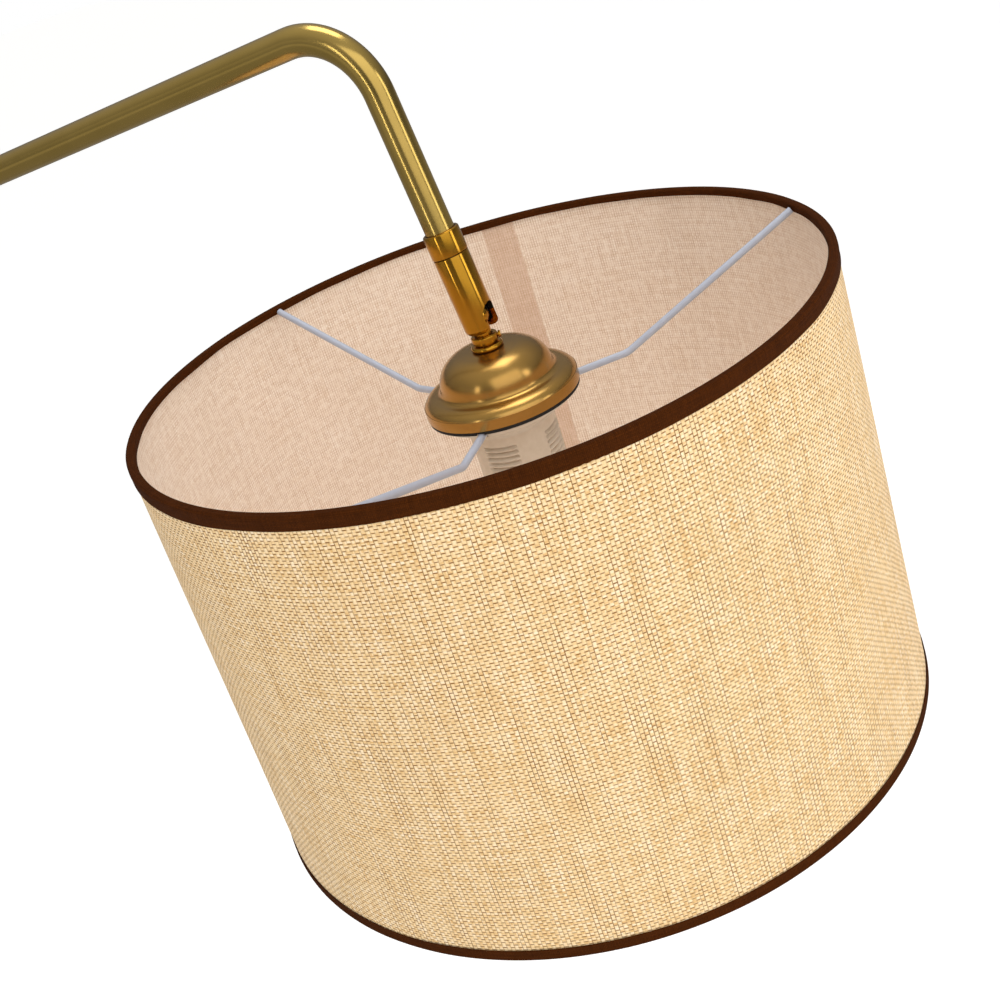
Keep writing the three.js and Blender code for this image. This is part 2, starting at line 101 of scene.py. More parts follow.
def finishMesh(name, bm, place, material, body, nodes, sharpAngle=40):
    mesh = bpy.data.meshes.new(name)
    bmesh.ops.recalc_face_normals(bm, faces=bm.faces)
    bm.to_mesh(mesh)
    bm.free()
    mesh.transform(place)
    piece = bpy.data.objects.new(name, mesh)
    bpy.context.scene.collection.objects.link(piece)
    for face in mesh.polygons:
        face.use_smooth = True
    mesh.set_sharp_from_angle(angle=math.radians(sharpAngle))
    mesh.materials.append(material)
    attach(piece, body)
    if nodes:
        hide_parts(*nodes)
    return piece


def turnedMesh(outline, segments=96, shape=None):
    # a closed outline of (radius, height) in millimetres, turned about the upright axis
    bm = bmesh.new()
    uvLayer = bm.loops.layers.uv.new("UVMap")
    lengths = [0.0]
    for i in range(1, len(outline) + 1):
        step = Vector(outline[i % len(outline)]) - Vector(outline[i - 1])
        lengths.append(lengths[-1] + step.length * mm)
    columns = []
    onAxis = {}
    for k in range(segments):
        angle = 2 * math.pi * k / segments
        column = []
        for index, (r, z) in enumerate(outline):
            if r < 1e-6:
                if index not in onAxis:
                    onAxis[index] = bm.verts.new((0, 0, z * mm))
                column.append(onAxis[index])
                continue
            if shape:
                r, z = shape(index, angle, r, z)
            column.append(bm.verts.new((r * mm * math.cos(angle), r * mm * math.sin(angle), z * mm)))
        columns.append(column)
    meanRadius = max(r for r, z in outline) * mm
    for k in range(segments):
        left, right = columns[k], columns[(k + 1) % segments]
        for i in range(len(outline)):
            j = (i + 1) % len(outline)
            corners = []
            for vert, uv in (
                (left[i], (k, lengths[i])),
                (right[i], (k + 1, lengths[i])),
                (right[j], (k + 1, lengths[i + 1])),
                (left[j], (k, lengths[i + 1])),
            ):
                if vert not in [c[0] for c in corners]:
                    corners.append((vert, uv))
            if len(corners) < 3:
                continue
            face = bm.faces.new([c[0] for c in corners])
            for loop, (vert, uv) in zip(face.loops, corners):
                loop[uvLayer].uv = (uv[0] / segments * 2 * math.pi * meanRadius, uv[1])
    return bm


def turnedPiece(name, outline, place, material, body, nodes, segments=96, soften=0.3, shape=None):
    profile = softenCorners(outline, soften) if soften else outline
    return finishMesh(name, turnedMesh(profile, segments, shape), place, material, body, nodes)


def bentStations(x, z, heading, parts):
    # stations along a path of straights and bends in the lamp's upright plane
    stations = [(x, z, heading)]
    for part in parts:
        steps = part.get("steps", 1)
        turn = part.get("turn", 0.0) / steps
        for _ in range(steps):
            px, pz, ph = stations[-1]
            chord = 2 * part["radius"] * math.sin(abs(turn) / 2) if turn else part["length"] / steps
            direction = ph + turn / 2
            stations.append((px + chord * math.cos(direction), pz + chord * math.sin(direction), ph + turn))
    return stations


def ringAround(bm, x, z, heading, radius, sides):
    # a ring of points square to a path in the lamp's upright plane
    here = Vector((x, 0, z))
    across = Vector((-math.sin(heading), 0, math.cos(heading)))
    level = Vector((0, 1, 0))
    ring = []
    for k in range(sides):
        a = 2 * math.pi * k / sides
        ring.append(bm.verts.new((here + across * radius * math.cos(a) + level * radius * math.sin(a)) * mm))
    return ring


def sweptMesh(stations, outer, bore, sides=64):
    # a tube that follows the stations, with its lengthwise direction as V
    bm = bmesh.new()
    uvLayer = bm.loops.layers.uv.new("UVMap")
    rings = []
    walked = 0.0
    last = None
    for x, z, heading in stations:
        here = Vector((x, 0, z))
        if last is not None:
            walked += (here - last).length
        last = here
        row = [ringAround(bm, x, z, heading, radius, sides) for radius in (outer, bore)]
        rings.append((row, walked))
    for i in range(len(rings) - 1):
        (rowA, walkA), (rowB, walkB) = rings[i], rings[i + 1]
        for which in (0, 1):
            for k in range(sides):
                n = (k + 1) % sides
                face = bm.faces.new((rowA[which][k], rowA[which][n], rowB[which][n], rowB[which][k]))
                uvs = ((k, walkA), (k + 1, walkA), (k + 1, walkB), (k, walkB))
                for loop, uv in zip(face.loops, uvs):
                    loop[uvLayer].uv = (uv[0] / sides * 2 * math.pi * outer * mm, uv[1] * mm)
    for row, walked in (rings[0], rings[-1]):
        for k in range(sides):
            n = (k + 1) % sides
            bm.faces.new((row[0][k], row[0][n], row[1][n], row[1][k]))
    return bm


def cutWith(piece, cutters):
    # cuts the pieces' shapes out and applies the result
    for cutter in cutters:
        step = piece.modifiers.new("cut", "BOOLEAN")
        step.object = cutter
        step.solver = "EXACT"
        bpy.context.view_layer.update()
        result = bpy.data.meshes.new_from_object(piece.evaluated_get(bpy.context.evaluated_depsgraph_get()))
        piece.modifiers.clear()
        old = piece.data
        piece.data = result
        bpy.data.meshes.remove(old)
        bpy.data.objects.remove(cutter)
    for face in piece.data.polygons:
        face.use_smooth = True
    piece.data.set_sharp_from_angle(angle=math.radians(35))


def cutterPiece(bm, place):
    mesh = bpy.data.meshes.new("cutter")
    bmesh.ops.recalc_face_normals(bm, faces=bm.faces)
    bm.to_mesh(mesh)
    bm.free()
    mesh.transform(place)
    cutter = bpy.data.objects.new("cutter", mesh)
    bpy.context.scene.collection.objects.link(cutter)
    return cutter


def linearFrom(hexText):
    values = [int(hexText[i:i + 2], 16) / 255 for i in (1, 3, 5)]
    return tuple(v / 12.92 if v <= 0.04045 else ((v + 0.055) / 1.055) ** 2.4 for v in values) + (1.0,)


def addNode(tree, kind, inputs=None, **settings):
    made = tree.nodes.new(kind)
    for key, value in settings.items():
        setattr(made, key, value)
    for key, value in (inputs or {}).items():
        if isinstance(value, bpy.types.NodeSocket):
            tree.links.new(value, made.inputs[key])
        else:
            made.inputs[key].default_value = value
    return made


def newMaterial(name):
    material = bpy.data.materials.new(name)
    material.use_nodes = True
    tree = material.node_tree
    shader = tree.nodes["Principled BSDF"]
    return material, tree, shader


cloudScale = 33.0               # clouds in the lacquer about 30 mm across


def brushedMetal(name, lightHex, darkHex, roughness, grainMm, alongPath, grainDepth, stretch=0.0):
    # metal polished with a belt or on a spinning chuck: fine scratches one way, slightly clouded lacquer
    material, tree, shader = newMaterial(name)
    coords = addNode(tree, "ShaderNodeTexCoord")
    scratches = (1000 / grainMm, 12.0, 1.0) if alongPath else (12.0, 1000 / grainMm, 1.0)
    mapped = addNode(tree, "ShaderNodeMapping", {"Vector": coords.outputs["UV"], "Scale": scratches})
    grain = addNode(tree, "ShaderNodeTexNoise", {
        "Vector": mapped.outputs["Vector"], "Scale": 1.0, "Detail": 3.0})
    clouds = addNode(tree, "ShaderNodeTexNoise", {
        "Vector": coords.outputs["Object"], "Scale": cloudScale, "Detail": 4.0, "Roughness": 0.6})
    tint = addNode(tree, "ShaderNodeMixRGB", {
        "Fac": clouds.outputs["Fac"], "Color1": linearFrom(darkHex), "Color2": linearFrom(lightHex)})
    shine = addNode(tree, "ShaderNodeMapRange", {
        "Value": grain.outputs["Fac"], "From Min": 0.3, "From Max": 0.7,
        "To Min": roughness * 0.93, "To Max": roughness * 1.07})
    bump = addNode(tree, "ShaderNodeBump", {
        "Height": grain.outputs["Fac"], "Strength": grainDepth, "Distance": 0.0001})
    tree.links.new(tint.outputs["Color"], shader.inputs["Base Color"])
    tree.links.new(shine.outputs["Result"], shader.inputs["Roughness"])
    tree.links.new(bump.outputs["Normal"], shader.inputs["Normal"])
    shader.inputs["Metallic"].default_value = 1.0
    if stretch:
        # scratches that run round the piece draw its highlights out along its length
        around = addNode(tree, "ShaderNodeTangent", direction_type="UV_MAP", uv_map="UVMap")
        tree.links.new(around.outputs["Tangent"], shader.inputs["Tangent"])
        shader.inputs["Anisotropic"].default_value = stretch
        shader.inputs["Anisotropic Rotation"].default_value = 0.25
    return material


def speckledSolid(name, lightHex, darkHex, roughness, grainMm, depth, metallic=0.0, ior=1.5):
    # moulded, cast or enamelled stock: one colour with a faint mottling and a fine surface grain
    material, tree, shader = newMaterial(name)
    coords = addNode(tree, "ShaderNodeTexCoord")
    mottle = addNode(tree, "ShaderNodeTexNoise", {
        "Vector": coords.outputs["Object"], "Scale": 1000 / (grainMm * 12), "Detail": 3.0})
    grain = addNode(tree, "ShaderNodeTexNoise", {
        "Vector": coords.outputs["Object"], "Scale": 1000 / grainMm, "Detail": 2.0})
    tint = addNode(tree, "ShaderNodeMixRGB", {
        "Fac": mottle.outputs["Fac"], "Color1": linearFrom(darkHex), "Color2": linearFrom(lightHex)})
    shine = addNode(tree, "ShaderNodeMapRange", {
        "Value": mottle.outputs["Fac"], "From Min": 0.3, "From Max": 0.7,
        "To Min": roughness * 0.9, "To Max": roughness * 1.1})
    bump = addNode(tree, "ShaderNodeBump", {
        "Height": grain.outputs["Fac"], "Strength": depth, "Distance": 0.0002})
    tree.links.new(tint.outputs["Color"], shader.inputs["Base Color"])
    tree.links.new(shine.outputs["Result"], shader.inputs["Roughness"])
    tree.links.new(bump.outputs["Normal"], shader.inputs["Normal"])
    shader.inputs["Metallic"].default_value = metallic
    if metallic < 0.5:
        shader.inputs["IOR"].default_value = ior
    return material


def plainWeave(name, look):
    # two sets of flat threads over and under; the gaps between them are darker, painted shade where the
    # threads part
    material, tree, shader = newMaterial(name)
    coords = addNode(tree, "ShaderNodeTexCoord")
    pitchU = look["pitchAcross"] * mm
    pitchV = look["pitchUp"] * mm
    split = addNode(tree, "ShaderNodeSeparateXYZ", {"Vector": coords.outputs["UV"]})

    # irregularities, each a noise stretched along or across the threads: scale in U, scale in V, detail
    noises = {}
    for purpose, (scaleU, scaleV, detail) in {
        "wanderU": (1 / (pitchU * 2), 25, 2.0),
        "wanderV": (25, 1 / (pitchV * 2), 2.0),
        "uprightTone": (1 / pitchU, look["slubsUpright"], 3.0),
        "levelTone": (look["slubsLevel"], 1 / pitchV, 3.0),
        "gapPatches": (0.35 / pitchU, 0.35 / pitchV, 3.0),
        "loosePlaces": (0.5 / pitchU, 14, 2.0),
        "patches": (18, 22, 3.0),
    }.items():
        mapped = addNode(tree, "ShaderNodeMapping", {
            "Vector": coords.outputs["UV"], "Scale": (scaleU, scaleV, 1.0)})
        made = addNode(tree, "ShaderNodeTexNoise", {
            "Vector": mapped.outputs["Vector"], "Scale": 1.0, "Detail": detail})
        noises[purpose] = made.outputs["Fac"]

    # sums on the thread pattern, in order; a name stands for an earlier sum, a noise or a direction
    values = dict(noises, acrossThreads=split.outputs["X"], upThreads=split.outputs["Y"])
    gapPatches = addNode(tree, "ShaderNodeMapRange", {
        "Value": noises["gapPatches"], "From Min": 0.38, "From Max": 0.6,
        "To Min": look["gapFloor"], "To Max": 1.0})
    loosePlaces = addNode(tree, "ShaderNodeMapRange", {
        "Value": noises["loosePlaces"], "From Min": 0.45, "From Max": 0.7,
        "To Min": look["columnGaps"], "To Max": 1.0})
    values["gapPatches"] = gapPatches.outputs["Result"]
    values["loosePlaces"] = loosePlaces.outputs["Result"]
    # a gap opens where a thread dives under its neighbour, so the dashes of painted shade are staggered
    for result, operation, clamp, *terms in (
        ("shiftU", "MULTIPLY_ADD", False, "wanderU", look["wander"] * math.pi, 0.0),
        ("shiftV", "MULTIPLY_ADD", False, "wanderV", look["wander"] * math.pi, 0.0),
        ("phaseU", "MULTIPLY_ADD", False, "acrossThreads", math.pi / pitchU, "shiftU"),
        ("phaseV", "MULTIPLY_ADD", False, "upThreads", math.pi / pitchV, "shiftV"),
        ("waveU", "SINE", False, "phaseU"),
        ("waveV", "SINE", False, "phaseV"),
        ("ridgeU", "ABSOLUTE", False, "waveU"),
        ("ridgeV", "ABSOLUTE", False, "waveV"),
        ("crossing", "MULTIPLY", False, "waveU", "waveV"),
        ("over", "MULTIPLY_ADD", True, "crossing", 2.5, 0.5),
        ("rowRidge", "MULTIPLY", False, "ridgeV", look["rowSharpness"]),
        ("rowLine", "SUBTRACT", True, 1.0, "rowRidge"),
        ("columnRidge", "MULTIPLY", False, "ridgeU", look["columnSharpness"]),
        ("columnLine", "SUBTRACT", True, 1.0, "columnRidge"),
        ("dive", "COSINE", False, "phaseV"),
        ("stagger", "MULTIPLY", False, "waveU", "dive"),
        ("dashes", "MULTIPLY_ADD", True, "stagger", look["stagger"], 0.6),
        ("rowGap", "MULTIPLY", False, "rowLine", "dashes"),
        ("columnGap", "MULTIPLY", False, "columnLine", "loosePlaces"),
        ("anyGap", "MAXIMUM", False, "rowGap", "columnGap"),
        ("patchyGap", "MULTIPLY", False, "anyGap", "gapPatches"),
        ("gap", "MULTIPLY", True, "patchyGap", look["gapStrength"]),
        ("patchTint", "MULTIPLY", False, "patches", look["patchStrength"]),
        ("crown", "MULTIPLY", False, "ridgeU", "ridgeV"),
        ("height", "SUBTRACT", False, "crown", "gap"),
    ):
        inputs = {}
        for i, term in enumerate(terms):
            inputs[i] = values[term] if isinstance(term, str) else term
        step = addNode(tree, "ShaderNodeMath", inputs, operation=operation, use_clamp=clamp)
        values[result] = step.outputs[0]

    threadTone = addNode(tree, "ShaderNodeMixRGB", {
        "Fac": values["over"], "Color1": values["uprightTone"], "Color2": values["levelTone"]})
    thread = addNode(tree, "ShaderNodeValToRGB", {"Fac": threadTone.outputs["Color"]})
    ramp = thread.color_ramp
    ramp.elements[0].position = 0.3
    ramp.elements[0].color = linearFrom(look["threadDark"])
    ramp.elements[1].position = 0.72
    ramp.elements[1].color = linearFrom(look["threadPale"])
    middle = ramp.elements.new(0.5)
    middle.color = linearFrom(look["threadMiddle"])
    tinted = addNode(tree, "ShaderNodeMixRGB", {
        "Fac": values["patchTint"], "Color1": thread.outputs["Color"],
        "Color2": linearFrom(look["patchHex"])})
    # the gap colour is painted shade between the threads
    colour = addNode(tree, "ShaderNodeMixRGB", {
        "Fac": values["gap"], "Color1": tinted.outputs["Color"], "Color2": linearFrom(look["gapShadeHex"])})
    bump = addNode(tree, "ShaderNodeBump", {
        "Height": values["height"], "Strength": look["bump"], "Distance": 0.0004})
    tree.links.new(colour.outputs["Color"], shader.inputs["Base Color"])
    tree.links.new(bump.outputs["Normal"], shader.inputs["Normal"])
    shader.inputs["Roughness"].default_value = look["roughness"]
    shader.inputs["Sheen Weight"].default_value = look["sheen"]
    shader.inputs["Sheen Roughness"].default_value = 0.5
    shader.inputs["Specular IOR Level"].default_value = look.get("specular", 0.25)
    return material


# satin lacquered brass tube, polished lengthwise: long soft streaks, olive-gold
satinBrass = brushedMetal("satinBrassTube", "#c9aa60", "#b0934a", 0.2, 0.5, True, 0.02)
# the same brass spun on a former: fine rings round the piece
spunBrass = brushedMetal("spunBrass", "#c29a58", "#a88040", 0.25, 0.5, False, 0.004, 0.45)
# turned brass with an orange lacquer: deeper and glossier
turnedBrass = brushedMetal("orangeLacqueredBrass", "#c39234", "#aa781d", 0.17, 0.3, False, 0.01, 0.75)
# the barrel's bore: a near-black colour, painted shade inside the barrel
boreShadePaint = speckledSolid("boreShadePaint", "#17110b", "#0d0a07", 0.65, 0.5, 0.2, metallic=0.5)
# zinc plated steel, grey with a dull shine
zincSteel = brushedMetal("zincPlatedSteel", "#a4a5a6", "#8a8b8d", 0.35, 0.4, False, 0.1)
# drawn brass contacts, bare and yellow
contactBrass = brushedMetal("contactBrass", "#d8b25c", "#c39a45", 0.25, 0.3, False, 0.1)
# nickel plated cap, pale and bright
nickelPlate = brushedMetal("nickelPlate", "#c9c8c4", "#b2b1ad", 0.22, 0.3, False, 0.1)
# sand-cast iron, dark with a coarse skin
castIron = speckledSolid("castIron", "#4a4a4c", "#2f2f31", 0.7, 0.8, 0.6, metallic=0.6)
# moulded black rubber, matt
blackRubber = speckledSolid("blackRubber", "#121213", "#0b0b0c", 0.7, 0.5, 0.3)
# baked enamel on steel wire: pale blue-grey, softly glossy
wireEnamel = speckledSolid("wireEnamel", "#b6bac6", "#a8adba", 0.38, 0.4, 0.12)
# moulded warm white PBT of the lampholder, semi-gloss
holderPlastic = speckledSolid("holderPlastic", "#dacdbb", "#cabba6", 0.24, 0.3, 0.05, ior=1.55)
# turned natural nylon, waxy
naturalNylon = speckledSolid("naturalNylon", "#e6e2d4", "#dcd7c7", 0.5, 0.3, 0.08, ior=1.53)
# glazed porcelain, smooth and white
glazedPorcelain = speckledSolid("glazedPorcelain", "#f4f2ec", "#eceae2", 0.18, 0.4, 0.03)
# extruded black sheath of the lead
leadSheath = speckledSolid("leadSheath", "#232324", "#18181a", 0.55, 0.3, 0.1)
# glass frosted inside by etching: white and softly glossy
frostedGlass = speckledSolid("frostedGlass", "#fbf9f3", "#f4f1e8", 0.3, 0.5, 0.02, ior=1.5)

outerWeaveLook = {
    "pitchAcross": 2.1,         # mm from one upright thread to the next
    "pitchUp": 1.69,            # mm from one level thread to the next
    "stagger": 0.8,
    "columnGaps": 0.2,
    "wander": 0.4,
    "slubsUpright": 28,
    "slubsLevel": 45,
    "threadPale": "#fbe9cb",
    "threadMiddle": "#efd19f",
    "threadDark": "#d8ad70",
    "patchHex": "#dcae70",
    "patchStrength": 0.25,
    # the colour of the painted shade in the gaps between threads
    "gapShadeHex": "#835109",
    "gapStrength": 1.9,
    "gapFloor": 0.6,
    "rowSharpness": 1.5,
    "columnSharpness": 2.6,
    "bump": 0.6,
    "roughness": 0.85,
    "sheen": 0.1,
}
liningWeaveLook = {
    "pitchAcross": 1.7,         # drawn coarser than fine cotton, so that the threads show
    "pitchUp": 1.7,
    "stagger": 0.1,
    "columnGaps": 1.0,
    "wander": 0.5,
    "slubsUpright": 30,
    "slubsLevel": 30,
    "threadPale": "#f8eadb",
    "threadMiddle": "#f0ddca",
    "threadDark": "#e2c8af",
    "patchHex": "#e6d0b8",
    "patchStrength": 0.3,
    # the colour of the painted shade in the gaps between threads
    "gapShadeHex": "#c39d7c",
    "gapStrength": 1.3,
    "gapFloor": 0.35,
    "rowSharpness": 2.2,
    "columnSharpness": 1.8,
    "bump": 0.15,
    "roughness": 0.8,
    "sheen": 0.1,
}
seamWeaveLook = dict(
    liningWeaveLook, threadPale="#e4c9b3", threadMiddle="#d9bba3", threadDark="#ccaa90",
    patchHex="#e2c8b2", patchStrength=0.5)
tapeLook = {
    "pitchAcross": 0.8,
    "stagger": 0.3,
    "columnGaps": 1.0,
    "pitchUp": 0.8,             # drawn coarser than a fine rib, so that the ribs show
    "wander": 0.5,
    "slubsUpright": 60,
    "slubsLevel": 60,
    "threadPale": "#542807",
    "threadMiddle": "#452004",
    "threadDark": "#361702",
    "patchHex": "#3a1902",
    "patchStrength": 0.4,
    # the colour of the painted shade in the gaps between threads
    "gapShadeHex": "#1d0a01",
    "gapStrength": 0.9,
    "gapFloor": 0.4,
    "rowSharpness": 2.2,
    "columnSharpness": 2.2,
    "bump": 0.3,
    "roughness": 0.85,
    "sheen": 0.0,
    "specular": 0.05,
}
# slubby linen-look polyester, laminated flat: cream threads, with brown painted shade in the gaps between
# them
shadeLinen = plainWeave("shadeLinen", outerWeaveLook)
# fine peach cotton on the inside face
peachLining = plainWeave("peachLining", liningWeaveLook)
# two layers of lining at the joint, which look pinker
liningJoint = plainWeave("liningJoint", seamWeaveLook)
# brown cotton binding tape with a fine rib
brownTape = plainWeave("brownTape", tapeLook)
print("materials made")

slotMaterials = {
    "antique_brass": satinBrass, "gold_brass": turnedBrass, "steel": zincSteel, "cast_iron": castIron,
    "black_rubber": blackRubber, "pale_enamel": wireEnamel, "white_plastic": holderPlastic,
    "nylon": naturalNylon, "porcelain": glazedPorcelain, "bright_brass": contactBrass,
    "frosted_glass": frostedGlass, "nickel": nickelPlate, "beige_linen": shadeLinen,
    "peach_lining": peachLining, "brown_tape": brownTape, "lead_sheath": leadSheath,
}
for part in frame["record"]["subparts"]:
    cadPiece = frame["nodes"][part["node"]]
    cadPiece.data.materials.clear()
    cadPiece.data.materials.append(slotMaterials[part["material_slot"]])


shadeValues = {
    "height": 261.5,
    "topRadius": 192.8,
    "bottomRadius": 199.2,
    "fabric": 0.8,
    "lining": 0.4,
    "wire": 1.2,
    "tape": 0.5,
    "gap": 0.3,
    "segments": 240,
    "rows": 24,
    "fabricWobble": 0.25,
    "liningWobble": 0.2,
    "wobbleSeed": 1.0,
}


def shadeRadius(z):
    v = shadeValues
    return v["topRadius"] + (v["bottomRadius"] - v["topRadius"]) * -z / v["height"]


def shellOutline(offset, thickness, low, high, rows):
    inside = []
    outside = []
    for i in range(rows + 1):
        z = low + (high - low) * i / rows
        outside.append((shadeRadius(z) + offset, z))
        inside.append((shadeRadius(z) + offset - thickness, z))
    return outside + inside[::-1]


def tautWobble(amount, seed):
    # fabric glued to a stiff backing still waves a little between its rings
    def shape(index, angle, r, z):
        place = Vector((math.cos(angle) * 2.2, math.sin(angle) * 2.2, z * 0.008 + seed))
        hold = math.sin(math.pi * min(1.0, max(0.0, -z / shadeValues["height"])))
        return r + amount * hold * noise.noise(place), z
    return shape


def makeShade():
    v = shadeValues
    bottom = -v["height"]
    edge = v["tape"] + v["gap"]
    fabricOutline = shellOutline(0, v["fabric"], bottom + edge, -edge, v["rows"])
    fabric = turnedPiece(
        "shadeFabric", fabricOutline, shadePlace, shadeLinen, "head", ["shade_fabric"],
        v["segments"], 0, tautWobble(v["fabricWobble"], v["wobbleSeed"]))
    liningEnd = edge + 2 * v["wire"] + v["gap"]
    liningFace = -v["fabric"] - v["gap"]
    liningOutline = shellOutline(liningFace, v["lining"], bottom + liningEnd, -liningEnd, v["rows"])
    lining = turnedPiece(
        "shadeLining", liningOutline, shadePlace, peachLining, "head", ["shade_lining"],
        v["segments"], 0, tautWobble(v["liningWobble"], v["wobbleSeed"]))
    joint = makeLiningJoint()
    tapes = [
        makeTape("topTape", "top_trim", 0, -7.6, -4.2),
        makeTape("bottomTape", "bottom_trim", bottom, bottom + 7, bottom + 4),
    ]


def makeLiningJoint():
    # the strip where the lining's two ends overlap
    v = shadeValues
    look = {
        "from": 109.2,              # degrees round the shade
        "to": 115.6,
        "thickness": 0.12,
        "clear": 0.02,
        "underTopRing": 3.2,
        "overBottomRing": 4.5,
        "columns": 10,
        "rows": 24,
    }
    bm = bmesh.new()
    uvLayer = bm.loops.layers.uv.new("UVMap")
    bulge = tautWobble(v["liningWobble"], v["wobbleSeed"])
    top = -v["tape"] - v["gap"] - look["underTopRing"]
    low = -v["height"] + look["overBottomRing"]
    grids = []
    for depth in (look["clear"], look["thickness"]):
        grid = []
        for i in range(look["columns"] + 1):
            angle = math.radians(look["from"] + (look["to"] - look["from"]) * i / look["columns"])
            column = []
            for j in range(look["rows"] + 1):
                z = low + (top - low) * j / look["rows"]
                r = shadeRadius(z) - v["fabric"] - v["gap"] - v["lining"] - depth
                r, z = bulge(0, angle, r, z)
                column.append(bm.verts.new((r * mm * math.cos(angle), r * mm * math.sin(angle), z * mm)))
            grid.append(column)
        grids.append(grid)
    meanRadius = 0.196          # metres, so that the weave keeps its real size on the strip

    def quad(a, b, c, d):
        face = bm.faces.new((a, b, c, d))
        for loop in face.loops:
            co = loop.vert.co
            loop[uvLayer].uv = (math.atan2(co.y, co.x) * meanRadius, co.z)

    nc, nr = look["columns"], look["rows"]
    for grid in grids:
        for i in range(nc):
            for j in range(nr):
                quad(grid[i][j], grid[i + 1][j], grid[i + 1][j + 1], grid[i][j + 1])
    a, b = grids
    for i in range(nc):
        for j in (0, nr):
            quad(a[i][j], a[i + 1][j], b[i + 1][j], b[i][j])
    for j in range(nr):
        for i in (0, nc):
            quad(a[i][j], a[i][j + 1], b[i][j + 1], b[i][j])
    return finishMesh("liningJoint", bm, shadePlace, liningJoint, "head", [])


def makeTape(name, node, edgeLevel, outsideEnd, insideEnd):
    v = shadeValues
    inward = math.copysign(1, outsideEnd - edgeLevel)

    def face(z):
        return shadeRadius(z) + v["gap"]

    inside = shadeRadius(edgeLevel) - v["fabric"] - 2 * v["gap"] - 2 * v["wire"] - v["tape"] + 0.1
    ridge = edgeLevel + (outsideEnd - edgeLevel) * 0.36
    outline = [
        (face(outsideEnd), outsideEnd),
        (face(outsideEnd) + v["tape"] * 0.8, outsideEnd),
        (face(outsideEnd) + v["tape"], outsideEnd - inward * 0.4),
        (face(ridge) + v["tape"] * 0.9, ridge + inward * 0.5),
        (face(ridge) + v["tape"] * 1.25, ridge),
        (face(edgeLevel) + v["tape"], edgeLevel + inward * 0.9),
        (face(edgeLevel) - 0.4, edgeLevel),
        (inside + 0.9, edgeLevel),
        (inside, edgeLevel + inward * 0.8),
        (inside, insideEnd),
        (inside + v["tape"] * 0.7, insideEnd),
        (inside + v["tape"] * 0.7, edgeLevel + inward * 0.6),
        (face(edgeLevel), edgeLevel + inward * 0.6),
    ]
    if inward > 0:
        outline.reverse()
    ends = (outsideEnd, insideEnd)

    def shape(index, angle, r, z):
        # hand-folded tape: its edges wave by a few tenths of a millimetre
        wave = noise.noise(Vector((math.cos(angle) * 6, math.sin(angle) * 6, edgeLevel)))
        if min(abs(z - end) for end in ends) < 0.6:
            z += wave * 0.5
        if z * inward > (ridge - 1) * inward and z * inward < (ridge + 1) * inward:
            z += wave * 0.4
        return r + 0.12 * wave, z
    return turnedPiece(name, outline, shadePlace, brownTape, "head", [node], 300, 0.25, shape)


makeShade()
print("shade made")


spiderValues = {
    "wire": 2.0,
    "level": -51.0,
    "bendAt": 74.0,
    "bendRadius": 12.0,
    "azimuths": (40.6, 160.6, -79.4),
    "rimRadius": 188.0,
    "rimLevel": -7.5,
    "hubRadius": 29.5,
}


def makeSpider():
    v = spiderValues
    turnedPiece("spiderHub", [(24.6, -53), (v["hubRadius"], -53), (v["hubRadius"], -50.4), (24.6, -50.4)],
                headPlace, wireEnamel, "head", ["spider_hub"], 96, 0.6)
    for index, azimuth in enumerate(v["azimuths"]):
        angle = math.radians(azimuth)
        x = lampPlaces["shadeShift"] + v["rimRadius"] * math.cos(angle)
        y = v["rimRadius"] * math.sin(angle)
        length, heading = math.hypot(x, y), math.atan2(y, x)
        slope = math.atan2(v["rimLevel"] - v["level"], length - v["bendAt"])
        tangent = v["bendRadius"] * math.tan(slope / 2)
        start = v["hubRadius"] + 0.3
        stations = bentStations(start, v["level"], 0.0, [
            {"length": v["bendAt"] - tangent - start, "steps": 4},
            {"radius": v["bendRadius"], "turn": slope, "steps": 12},
            {"length": (length - v["bendAt"]) / math.cos(slope) - tangent, "steps": 6},
        ])
        bm = solidSweep(stations, v["wire"], 24)
        finishMesh(f"spiderArm{index + 1}", bm, headPlace @ Matrix.Rotation(heading, 4, "Z"), wireEnamel,
                   "head", [f"spider_arm_{index + 1}"])


def solidSweep(stations, radius, sides):
    # a solid round bar that follows the stations
    bm = bmesh.new()
    rings = [ringAround(bm, x, z, heading, radius, sides) for x, z, heading in stations]
    for low, high in zip(rings, rings[1:]):
        for k in range(sides):
            n = (k + 1) % sides
            bm.faces.new((low[k], low[n], high[n], high[k]))
    bm.faces.new(rings[0])
    bm.faces.new(rings[-1][::-1])
    return bm


makeSpider()
print("spider made")


canopyValues = {
    "top": -18.8,
    "rim": -47.8,
    "radius": 43.3,
    "wall": 0.9,
    "domeFoot": -35.0,
}


def armNotches(top):
    # cutters that let the three arms out between the canopy and the lampholder
    notches = []
    for azimuth in spiderValues["azimuths"]:
        angle = math.radians(azimuth)
        x = lampPlaces["shadeShift"] + spiderValues["rimRadius"] * math.cos(angle)
        y = spiderValues["rimRadius"] * math.sin(angle)
        box = bmesh.new()
        boxPlace = Matrix.Translation(Vector((41, 0, top - 3)) * mm)
        boxSize = Matrix.Diagonal((14 * mm, 4.8 * mm, 6 * mm, 1))
        bmesh.ops.create_cube(box, size=1.0, matrix=boxPlace @ boxSize)
        notches.append(cutterPiece(box, headPlace @ Matrix.Rotation(math.atan2(y, x), 4, "Z")))
    return notches


